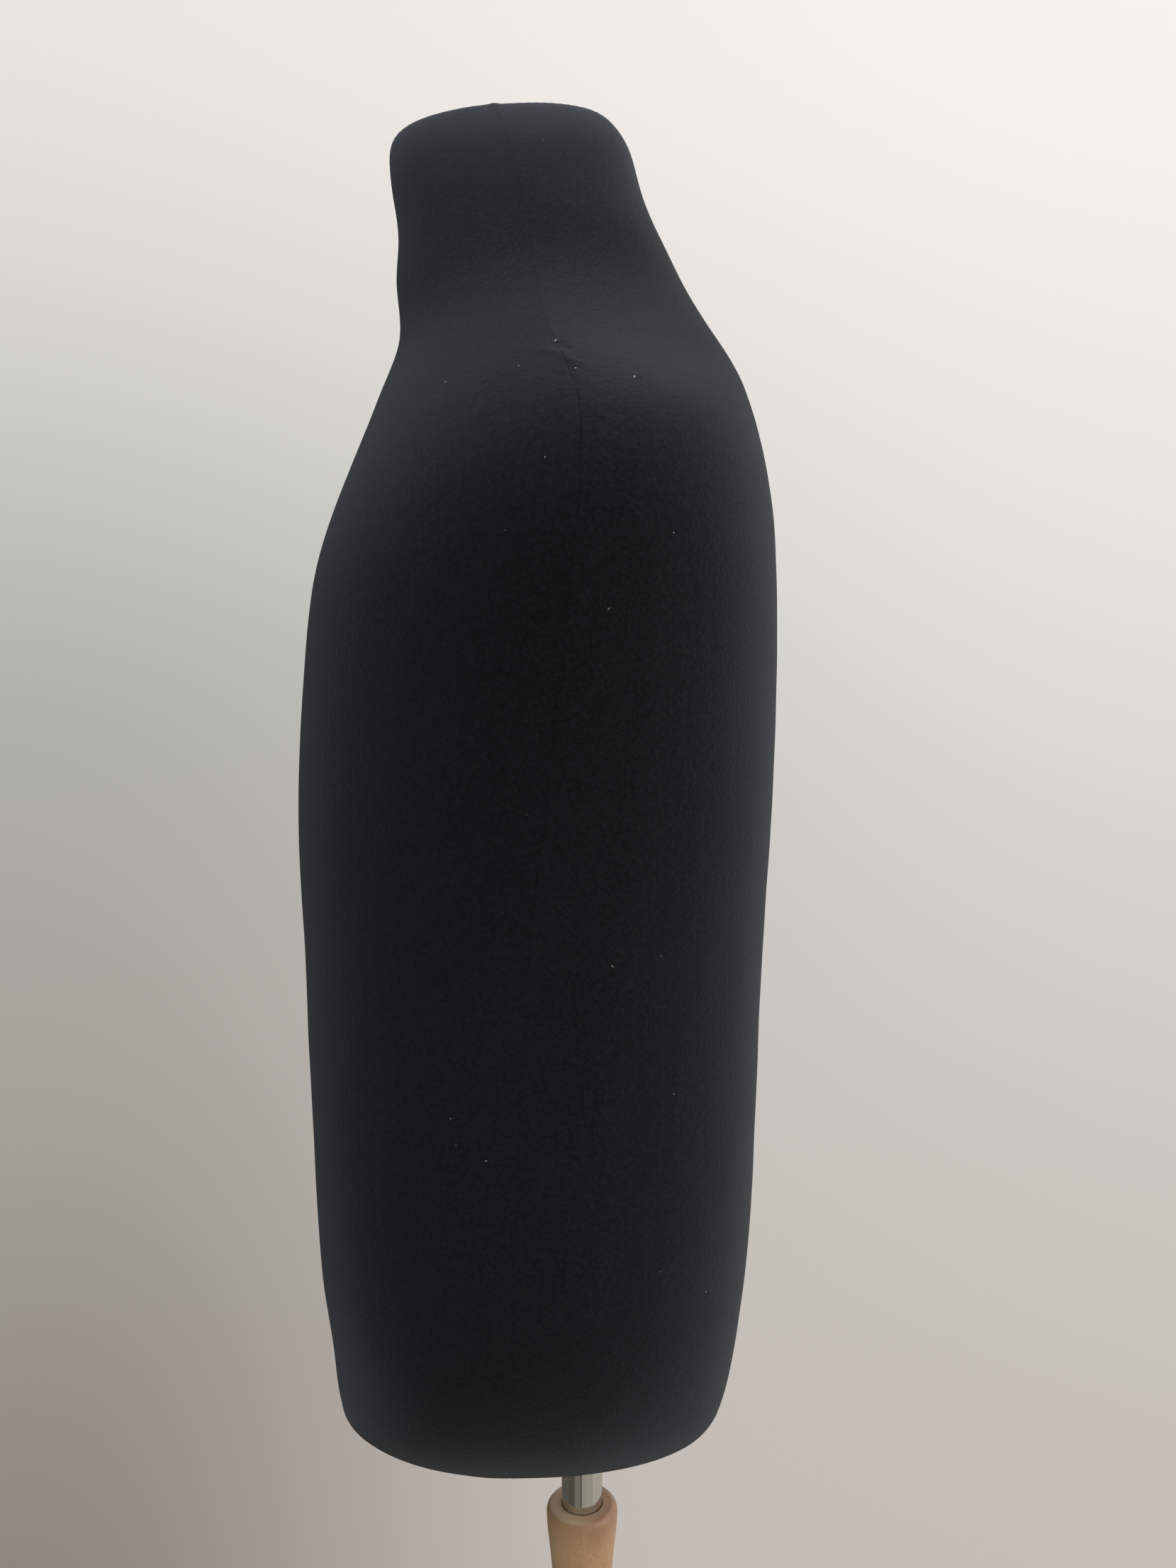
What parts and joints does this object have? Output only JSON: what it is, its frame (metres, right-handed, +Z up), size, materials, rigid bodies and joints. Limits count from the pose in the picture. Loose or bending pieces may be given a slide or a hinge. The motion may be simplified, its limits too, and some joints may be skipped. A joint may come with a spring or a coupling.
{
  "type": "dress form mannequin",
  "caption": "Armless jersey-covered torso form that turns and slides on a chrome pole, clamped in a turned wooden column on curved legs.",
  "frame": {"origin": "on the floor, on the pole's axis", "axes": "+Z up along the pole, the torso faces -Y, its left side is towards +X"},
  "size_m": [0.5414, 0.4688, 1.4279],
  "materials": {
    "jersey": "matte knitted jersey",
    "shell": "moulded, unpainted",
    "strip": "resin-bonded glass tape",
    "plywood": "raw plywood",
    "beech": "satin clear lacquer",
    "chrome": "polished",
    "steel": "zinc plated",
    "brass": "machined",
    "black_plastic": "moulded, fine texture",
    "pad_rubber": "matte"
  },
  "bodies": {
    "stand": {"stand_column": "beech", "leg_front": "beech", "leg_rear_left": "beech", "leg_rear_right": "beech", "leg_bolts": "steel", "leg_inserts": "brass", "leg_dowels": "beech", "foot_pad_front": "pad_rubber", "foot_pad_rear_left": "pad_rubber", "foot_pad_rear_right": "pad_rubber", "foot_nails": "steel", "clamp_insert": "brass"},
    "pole": {"pole_tube": "chrome", "pole_top_plug": "black_plastic", "pole_bottom_plug": "black_plastic"},
    "torso": {"front_cover": "jersey", "rear_cover": "jersey", "front_shell": "shell", "rear_shell": "shell", "joint_strip_left": "strip", "joint_strip_right": "strip", "neck_board": "plywood", "base_board": "plywood", "pole_socket": "steel", "socket_screws": "steel", "socket_cap": "black_plastic", "socket_collar": "steel"},
    "pad": {"clamp_pad": "brass"},
    "knob": {"clamp_screw": "steel", "clamp_knob": "black_plastic"}
  },
  "joints": [
    {"name": "height_slide", "type": "slide", "parent": "stand", "child": "pole", "axis": [0, 0, 1], "range_m": [-0.045, 0.25]},
    {"name": "torso_swivel", "type": "hinge", "parent": "pole", "child": "torso", "pos_m": [0, 0, 0.7], "axis": [0, 0, 1], "continuous": true},
    {"name": "pad_slide", "type": "slide", "parent": "stand", "child": "pad", "axis": [0, 1, 0], "range_m": [0, 0.0025]},
    {"name": "knob_turn", "type": "hinge", "parent": "pad", "child": "knob", "pos_m": [0, 0.03, 0.53], "axis": [0, 1, 0], "range_deg": [0, 720]}
  ],
  "couplings": [
    {"joint": "pad_slide", "follows": "knob_turn", "m_per_rad": 0.00019894}
  ]
}
